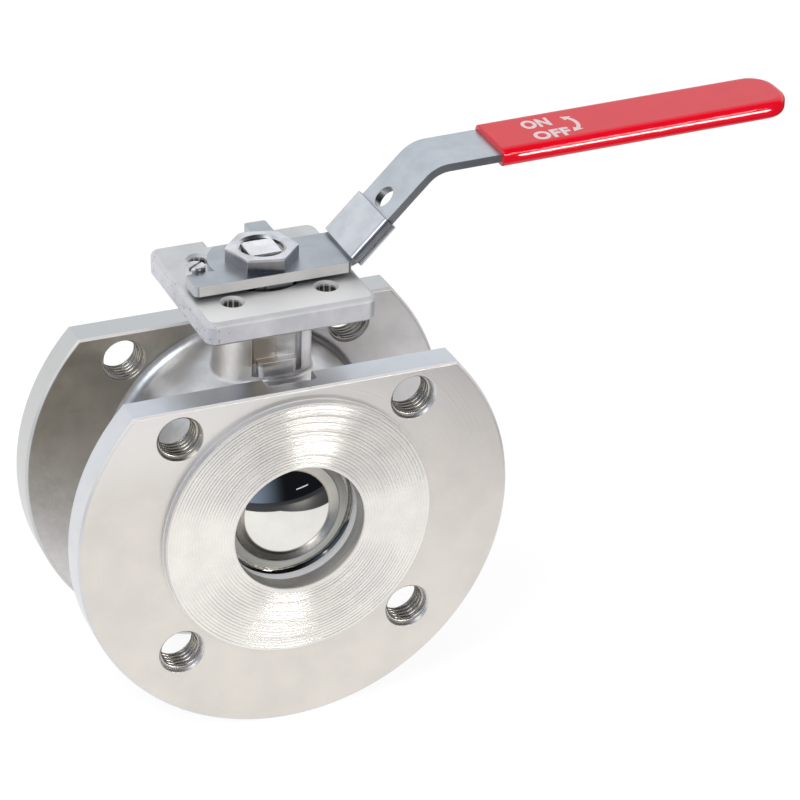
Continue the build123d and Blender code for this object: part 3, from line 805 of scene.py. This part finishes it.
def grooved_profile(inner_r, outer_r):
    """Radius and height of the plate's points, from its inner skirt to its outer one."""
    profile = [(inner_r, -plate_root), (inner_r, plate_lift)]
    grooves = int((outer_r - inner_r) / groove_pitch)
    first_r = inner_r + (outer_r - inner_r - (grooves - 1) * groove_pitch) / 2
    for index in range(grooves):
        middle_r = first_r + index * groove_pitch
        profile.append((middle_r - groove_width / 2, plate_lift))
        profile.append((middle_r, plate_lift - groove_depth))
        profile.append((middle_r + groove_width / 2, plate_lift))
    profile.append((outer_r, plate_lift))
    profile.append((outer_r, -plate_root))
    return profile


def grooved_face(name, wall_y, outward, inner_r, outer_r):
    """A grooved plate on the plane y = wall_y; outward is -1 or +1 along Y."""
    profile = grooved_profile(inner_r, outer_r)
    points = []
    for radius, height in profile:
        for step in range(ring_steps):
            angle = outward * 2 * pi * step / ring_steps
            points.append((radius * cos(angle), wall_y + outward * height, radius * sin(angle)))
    faces = band_faces(len(profile), ring_steps, True, True)
    add_mesh(name, points, faces, seal_face, "valve_body", smooth=False)
    print(name, "has", len(faces), "faces")


rim_room = 0.6 * mm
rear_radii = [off_axis(point) for point in body_points if point.y > back_y - slack]
grooved_face("inlet_turned_rings", face_y, -1, bore_r + rim_room, raised_face_r - rim_room)
grooved_face("outlet_turned_rings", back_y, 1, min(rear_radii) + rim_room, max(rear_radii) - rim_room)

# %% [markdown]
# ## Threads in the eight flange holes
# The holes are tapped for bolts of 16 mm with a pitch of 2 mm. In the photograph the ridges catch
# the light in every hole, so they are real: a ridge with the profile of a thread is wound up
# along a helix. Its root lies just inside the hole's wall, and it stands inwards by the depth of
# the thread. At both ends it fades away within a quarter turn, as a tap leaves it.

# %% Thread helper
thread_steel = steels["thread_stainless"]
thread_steps = 40
fade_turns = 0.25
ridge_shares = (0.03, 0.42, 0.58, 0.97)
least_ridge = 0.1


def thread_mesh(length, root_r, depth, pitch, least_r=None):
    """Points and faces of a wound ridge round the Z axis, from z = 0 to length.

    least_r, if given, is a function of the angle that says how far in the ridge may reach.
    """
    count = int((length / pitch - 1) * thread_steps)
    fade_steps = thread_steps * fade_turns
    points = []
    for step in range(count + 1):
        angle = 2 * pi * step / thread_steps
        fade = min(1.0, (step + 0.5) / fade_steps, (count - step + 0.5) / fade_steps)
        crest = root_r - depth * fade
        if least_r is not None:
            crest = min(max(crest, least_r(angle)), root_r - least_ridge * depth)
        rise = pitch * step / thread_steps
        for radius, share in zip((root_r, crest, crest, root_r), ridge_shares):
            points.append(Vector((radius * cos(angle), radius * sin(angle), rise + pitch * share)))
    faces = [face[::-1] for face in band_faces(count + 1, 4, False, True)]
    last = count * 4
    faces.append((0, 1, 2, 3))
    faces.append((last + 3, last + 2, last + 1, last))
    return points, faces


# %% [markdown]
# One ridge is wound, and a copy of it is laid into each of the four holes of both flanges, with
# its axis along the pipe.

# %% Threads in the flanges
bolt_pitch = 2.0 * mm
bolt_thread_depth = 1.05 * mm
into_wall = 0.02 * mm
tap_room = 0.2 * mm
first_tap_angle = 45
tap_angle = 360 // bolt_dims["count"]
tap_length = flange_back_y - tap_mouth_y - tap_room
along_pipe = Matrix.Rotation(-pi / 2, 4, "X")
tap_points, tap_faces = thread_mesh(tap_length, tap_r + into_wall, bolt_thread_depth, bolt_pitch)
for side, start_y in (("inlet", tap_mouth_y), ("outlet", back_y - tap_mouth_y - tap_length)):
    for index in range(bolt_dims["count"]):
        angle = radians(first_tap_angle + tap_angle * index)
        middle = Vector((bolt_circle_r * cos(angle), start_y, bolt_circle_r * sin(angle)))
        place = Matrix.Translation(middle) @ along_pipe
        thread_points = [place @ point for point in tap_points]
        thread_name = side + "_thread_" + str(index + 1)
        add_mesh(thread_name, thread_points, tap_faces, thread_steel, "valve_body")
print("threads wound in", 2 * bolt_dims["count"], "holes,", len(tap_faces), "faces each")

# %% [markdown]
# The lever's nut gets such a ridge too. The stem that stands in it is square with its corners
# rounded off, so the ridge is cut short where the corners are, and shows between them.

# %% Thread in the lever's nut
nut_points = points_of("lever_nut")
stem_points = [point for point in points_of("stem") if point.z > nut_low.z]
nut_bore_r = min(hypot(point.x, point.y - stem_y) for point in nut_points)
stem_corner_r = max(hypot(point.x, point.y - stem_y) for point in stem_points)
stem_flat = max(point.x for point in stem_points)
nut_pitch = 1.5 * mm
nut_thread_depth = 0.85 * mm
nut_room = 0.4 * mm
stem_room = 0.06 * mm


def stem_reach(angle):
    """How far out the stem's square end reaches at an angle, with room to spare."""
    to_flat = stem_flat / max(abs(cos(angle)), abs(sin(angle)))
    return min(to_flat, stem_corner_r) + stem_room


nut_length = nut_high.z - nut_low.z - nut_room
nut_thread, nut_faces = thread_mesh(
    nut_length, nut_bore_r + into_wall, nut_thread_depth, nut_pitch, stem_reach
)
nut_place = Vector((0, stem_y, nut_low.z))
nut_thread = [nut_place + point for point in nut_thread]
add_mesh("nut_thread", nut_thread, nut_faces, thread_steel, "rotor")
print("nut thread of radius", round(nut_bore_r / mm, 2),
      "round a stem of", round(stem_corner_r / mm, 2), "mm")

# %% [markdown]
# ## The casting's seam
# Where the two halves of the wax mould met, a fine ridge is left on the casting. On the real valve
# it runs down the front of the neck, over the foot and across the flange's flat top. Drawn as a
# colour it would have no edge to catch the light, so it is a mesh. It is laid on the body by
# sending rays at the body's own mesh, so that it follows every fillet on its way.

# %% Seam helpers
seam_half_width = 0.36 * mm
seam_height = 0.16 * mm
body_polygons = frame["nodes"]["body"].data.polygons
body_tree = BVHTree.FromPolygons(body_points, [tuple(face.vertices) for face in body_polygons])


def hit(start, direction):
    """Where a ray meets the body, and the body's normal there."""
    place, normal, _, _ = body_tree.ray_cast(Vector(start), Vector(direction))
    return place, normal


def lay_seam(name, hits, sideways):
    """A low ridge along the hits, three points wide and sunk at its edges."""
    points = []
    for place, normal in hits:
        points.append(place + sideways * seam_half_width - normal * seam_height)
        points.append(place + normal * seam_height)
        points.append(place - sideways * seam_half_width - normal * seam_height)
    faces = band_faces(len(hits), 3, False, True)
    last = (len(hits) - 1) * 3
    faces += [(2, 1, 0), (last, last + 1, last + 2)]
    add_mesh(name, points, faces, steels["seam_stainless"], "valve_body")


# %% [markdown]
# One row of rays looks along the pipe at the front of the neck, and one looks down at the flat top.
# The seam has two pieces, because a single one would have to turn a sharp corner.

# %% Seam down the neck and over the flange
seam_x = 0.5 * mm
seam_foot_x = 4.8 * mm
seam_steps = 48
ray_start_y = flange_back_y + 0.5 * mm
ray_start_z = flat_z + 4 * mm
neck_from_z = pad_under - 1.6 * mm
neck_to_z = flat_z + 0.8 * mm
flat_from_y = flange_back_y - 0.4 * mm
flat_to_y = flange_face_y + 0.4 * mm

neck_hits = []
flat_hits = []
for step in range(seam_steps + 1):
    share = step / seam_steps
    place, normal = hit((seam_x, ray_start_y, neck_from_z + (neck_to_z - neck_from_z) * share), (0, 1, 0))
    if place is not None and place.y < stem_y:
        neck_hits.append((place, normal))
    start_x = seam_x + (seam_foot_x - seam_x) * share
    start_y = flat_from_y + (flat_to_y - flat_from_y) * share
    flat_hits.append(hit((start_x, start_y, ray_start_z), (0, 0, -1)))
lay_seam("casting_seam", neck_hits, Vector((1, 0, 0)))
lay_seam("flange_seam", flat_hits, Vector((1, 0, 0)))
print("seam laid over", len(neck_hits), "places on the neck and", len(flat_hits), "on the flange")

# %% [markdown]
# ## Print on the grip
# ON, OFF and a bent double arrow are printed on the grip's top. Letters could be a picture, but
# this file uses none: a text object gives the outlines, and a thin mesh of them is laid on the
# plastic. The grip slopes a little, so the print gets the same frame as the sheet under it: `s`
# runs along the grip from the lever's upper bend and `y` across it.

# %% Print frame
level_angle = radians(1.25)
knee_x = 61.254 * mm
knee_z = 121.254 * mm
grip_skin = 2.1 * mm
print_lift = 0.03 * mm
print_root = 0.10 * mm
along = Vector((cos(level_angle), 0, sin(level_angle)))
across = Vector((0, 1, 0))
upwards = along.cross(across)
knee = Vector((knee_x, stem_y, knee_z))


def on_grip(s, y, height):
    """Point s along the grip and y across it, at a height over its top."""
    return knee + along * s + across * y + upwards * (grip_skin + height)


def print_plate(name, outline):
    """A thin printed shape with this outline of (s, y), given against the clock."""
    count = len(outline)
    points = [on_grip(s, y, print_lift) for s, y in outline]
    points += [on_grip(s, y, -print_root) for s, y in outline]
    faces = [tuple(range(count)), tuple(reversed(range(count, 2 * count)))]
    for index in range(count):
        after = (index + 1) % count
        faces.append((index, index + count, after + count, after))
    add_mesh(name, points, faces, print_ink, "rotor", smooth=False)


# %% [markdown]
# A word's letters come from a text object with a bold, wide setting. Its mesh is stretched over
# the area that the word takes up on the grip, and the text object is removed again.

# %% Words
letter_boldness = 0.045
letter_spacing = 1.08
letter_extrusion = 0.5
words = {
    "ON": {"s": 40.5 * mm, "y": 0.3 * mm, "width": 11.0 * mm, "height": 7.0 * mm},
    "OFF": {"s": 41.0 * mm, "y": -9.6 * mm, "width": 14.3 * mm, "height": 6.7 * mm},
}


def print_word(word, s, y, width, height):
    """The word's letters, stretched to width and height, standing at s, y on the grip."""
    curve = bpy.data.curves.new(word, "FONT")
    curve.body = word
    curve.offset = letter_boldness
    curve.space_character = letter_spacing
    curve.extrude = letter_extrusion
    text = bpy.data.objects.new(word, curve)
    bpy.context.scene.collection.objects.link(text)
    bpy.context.view_layer.update()
    letters = text.to_mesh()
    corners = [vertex.co.copy() for vertex in letters.vertices]
    low = [min(corner[axis] for corner in corners) for axis in range(3)]
    span = [max(corner[axis] for corner in corners) - low[axis] for axis in range(3)]
    points = []
    for corner in corners:
        share = [(corner[axis] - low[axis]) / span[axis] for axis in range(3)]
        lift = -print_root + (print_root + print_lift) * share[2]
        points.append(on_grip(s + share[0] * width, y + share[1] * height, lift))
    faces = [tuple(face.vertices) for face in letters.polygons]
    text.to_mesh_clear()
    bpy.data.objects.remove(text)
    add_mesh("print_" + word.lower(), points, faces, print_ink, "rotor", smooth=False)
    print(word, "printed with", len(faces), "faces")


for word, area in words.items():
    print_word(word, **area)

# %% [markdown]
# The arrow's shaft is part of a ring, and each head is a triangle that points along the ring's
# tangent there. One outline goes round all of it.

# %% Arrow
arrow_middle_s = 52.9 * mm
arrow_middle_y = -0.9 * mm
arrow_r = 7.4 * mm
arrow_half_width = 0.75 * mm
head_half_width = 2.0 * mm
head_angle = radians(26)
arrow_sweep = radians(36)
arrow_steps = 16


def on_ring(angle, radius):
    """Point of the arrow at an angle from the grip's own direction."""
    return (arrow_middle_s + radius * cos(angle), arrow_middle_y + radius * sin(angle))


outline = []
for way in (1, -1):
    for step in range(arrow_steps + 1):
        angle = way * arrow_sweep * (2 * step / arrow_steps - 1)
        outline.append(on_ring(angle, arrow_r + way * arrow_half_width))
    outline.append(on_ring(way * arrow_sweep, arrow_r + way * head_half_width))
    outline.append(on_ring(way * (arrow_sweep + head_angle), arrow_r))
    outline.append(on_ring(way * arrow_sweep, arrow_r - way * head_half_width))
print_plate("print_arrow", outline)
print("arrow printed with", len(outline), "corners")

# %% [markdown]
# ## The studio
# The photograph has a white ground, soft light from the upper left, and no hard shadow. What
# polished steel mirrors there can be read from the ball: a white sheet lies under the valve, its
# edge is less than half a metre off, and the room in front of it is dark, while the room behind
# is bright. The floor and the world therefore answer each kind of ray by itself: white to the
# camera, sheet and dark room to mirrors, and a plain level of light to everything else. The floor
# is also diffuse, so the valve's shadow stays on it.

# %% World
light_level = (0.60, 0.60, 0.60)
dark_room = (0.010, 0.011, 0.014)
blue_room = (0.26, 0.33, 0.45)
bright_low = (1.16, 1.17, 1.18)
bright_high = (0.94, 1.00, 1.08)
blue_leftwards = (-0.15, 0.55)
high_upwards = (0.0, 0.8)
bright_backwards = (-0.2, 0.3)


def ray_kinds(wiring):
    """Masks of the rays of the camera, straight or through glass, and of mirrors."""
    rays = wiring.node("LightPath")
    kinds = rays.socket.node.outputs
    shown = rays.either(Signal(wiring, kinds["Is Transmission Ray"]))
    return shown, Signal(wiring, kinds["Is Glossy Ray"])


world = bpy.data.worlds.new("studio")
bpy.context.scene.world = world
world.use_nodes = True
world.cycles.sampling_method = "NONE"
studio = Wiring(world.node_tree)
shown, mirrored = ray_kinds(studio)
to_right, to_back, upward = studio.split(studio.node("TexCoord", output="Generated"))
front_room = studio.blend(studio.ramp(to_right * -1, *blue_leftwards), dark_room, blue_room)
back_room = studio.blend(studio.ramp(upward, *high_upwards), bright_low, bright_high)
room = studio.blend(studio.ramp(to_back, *bright_backwards), front_room, back_room)
lit = studio.blend(mirrored, light_level, room)
background = world.node_tree.nodes["Background"]
world.node_tree.links.new(studio.blend(shown, lit, (1, 1, 1)).socket, background.inputs["Color"])
print("world has", len(world.node_tree.nodes), "nodes")

# %% [markdown]
# The sheet's edges are straight lines on the floor, each given by the way it faces, its
# distance from the valve and how blurred it is. Beyond them a mirror sees the dark room, and
# towards its right edge the sheet gets dimmer.

# %% Floor
sheet_right = ((0.813, -0.582), 0.253, 0.008)
sheet_near = ((-0.160, -0.987), 0.435, 0.008)
sheet_back = ((0.8, 0.6), 0.60, 0.024)
sheet_fade = 0.22
sheet_white = (0.92, 0.92, 0.92)
sheet_dim = (0.80, 0.80, 0.83)
off_sheet_dark = (0.02, 0.02, 0.025)
floor_dark = (0.02, 0.02, 0.02)
floor_greys = ((0.26, 0.26, 0.26), (0.28, 0.28, 0.28))
floor_glow = (0.80, 0.80, 0.80)
paper_size = 0.4
floor_half = 6.0

ground = Finish("studio_floor", Roughness=0.8, Emission_Strength=1.0)
ground.material.cycles.emission_sampling = "NONE"
floor_shown, floor_mirrored = ray_kinds(ground)


def towards(faces):
    """How far a place on the floor lies from the valve, the way that an edge faces."""
    return ground.x * faces[0] + ground.y * faces[1]


off_sheet = 0.0
for faces, distance, blur in (sheet_right, sheet_near, sheet_back):
    off_sheet = ground.ramp(towards(faces), distance - blur, distance + blur).either(off_sheet)
faces, distance, _ = sheet_right
dimmer = ground.ramp(towards(faces), distance - sheet_fade, distance)
sheet_tone = ground.blend(dimmer, sheet_white, sheet_dim)
sheet_seen = ground.blend(off_sheet, sheet_tone, off_sheet_dark)
mirror_glow = ground.blend(floor_mirrored, (0, 0, 0), sheet_seen)
floor_tone = ground.blend(ground.noise(paper_size), *floor_greys)
ground.link(
    Base_Color=ground.blend(off_sheet * floor_mirrored, floor_tone, floor_dark),
    Emission_Color=ground.blend(floor_shown, mirror_glow, floor_glow),
)
floor_corners = [(-floor_half, -floor_half), (floor_half, -floor_half), (floor_half, floor_half),
                 (-floor_half, floor_half)]
floor_mesh = bpy.data.meshes.new("floor")
floor_mesh.from_pydata([(*corner, cad_box[0].z) for corner in floor_corners], [], [(0, 1, 2, 3)])
floor_mesh.materials.append(ground.material)
floor = bpy.data.objects.new("floor", floor_mesh)
bpy.context.scene.collection.objects.link(floor)
print("floor at", round(cad_box[0].z / mm, 1), "mm")

# %% [markdown]
# Lamps are panels. A panel's power is given as the brightness of its face, because that is what
# polished steel shows, and Blender's watts follow from it and the panel's area. The key panel
# stands at the upper left. The small one in front at the right makes the fans on the sealing
# face. It would put hard spots on the ball and on the lever's steel, which the photograph doesn't
# have, so those pieces are left out of its light, and the ball gets a faint strip for its glint.

# %% Lamps
def panel(name, place, width, height, brightness, colour=(1, 1, 1)):
    """A lamp that faces the origin."""
    light = bpy.data.lights.new(name, "AREA")
    light.shape = "RECTANGLE"
    light.size = width
    light.size_y = height
    light.energy = brightness * pi * width * height
    light.color = colour
    lamp = bpy.data.objects.new(name, light)
    lamp.location = place
    lamp.rotation_mode = "QUATERNION"
    lamp.rotation_quaternion = (-Vector(place)).to_track_quat("-Z", "Y")
    lamp.visible_camera = False
    bpy.context.scene.collection.objects.link(lamp)
    return lamp


def light_group(lamp, name, pieces):
    """Let a lamp light these pieces alone."""
    group = bpy.data.collections.new(name)
    for piece in pieces:
        group.objects.link(frame["nodes"][piece])
    lamp.light_linking.receiver_collection = group
    return group


panel("key_panel", (-1.1, -0.9, 1.5), width=0.9, height=0.9, brightness=5.0, colour=(1.0, 0.99, 0.97))
front_panel = panel(
    "front_panel", (0.47, -0.98, 0.17), width=0.40, height=0.09, brightness=37.0, colour=(1.0, 0.98, 0.95)
)
left_dark = light_group(
    front_panel, "left_dark_by_the_front_panel", ("ball", "lever", "lock_slide", "lever_nut")
)
for entry in left_dark.collection_objects:
    entry.light_linking.link_state = "EXCLUDE"
glint_lamp = panel("glint_lamp", (0.53, -0.97, 0.19), width=0.30, height=0.02, brightness=1.2)
light_group(glint_lamp, "ball_alone", ("ball",))
print("three panels stand round the valve")

# %% [markdown]
# The line of light along the grip's side is the mirror image of a long bright strip. A mirror's
# rule says where that strip has to be: mirror the camera in the side's plane, draw a ray from
# there through each end of the wanted line, and go on a little way beyond the side. The lamp is
# hung between the two points, and it lights the grip only.

# %% Strip lamp
line_from_s = 32 * mm
line_to_s = 137 * mm
line_below_top = 2.6 * mm
line_reach = 0.03
line_width = 0.9 * mm
line_brightness = 60.0
side_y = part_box("grip")[0].y
mirrored_camera = Vector((camera_place.x, 2 * side_y - camera_place.y, camera_place.z))


def on_side(s):
    """Point s along the wanted line."""
    return on_grip(s, side_y - stem_y, -line_below_top)


def behind_side(s):
    """Point s of the strip, seen from the mirrored camera."""
    return on_side(s) + (on_side(s) - mirrored_camera) * line_reach


line_middle = (behind_side(line_from_s) + behind_side(line_to_s)) / 2
line_span = behind_side(line_to_s) - behind_side(line_from_s)
line_along = line_span.normalized()
line_back = (line_middle - on_side((line_from_s + line_to_s) / 2)).normalized()
line_back = (line_back - line_along * line_back.dot(line_along)).normalized()
line_turn = Matrix((line_along, line_back.cross(line_along), line_back)).transposed().to_4x4()
line_lamp = panel(
    "line_lamp", line_middle, width=line_span.length, height=line_width, brightness=line_brightness
)
line_lamp.matrix_world = Matrix.Translation(line_middle) @ line_turn
line_lamp.visible_diffuse = False
light_group(line_lamp, "grip_alone", ("grip",))
print("strip lamp of", round(line_span.length / mm), "mm")

bpy.context.scene.view_settings.view_transform = "Standard"
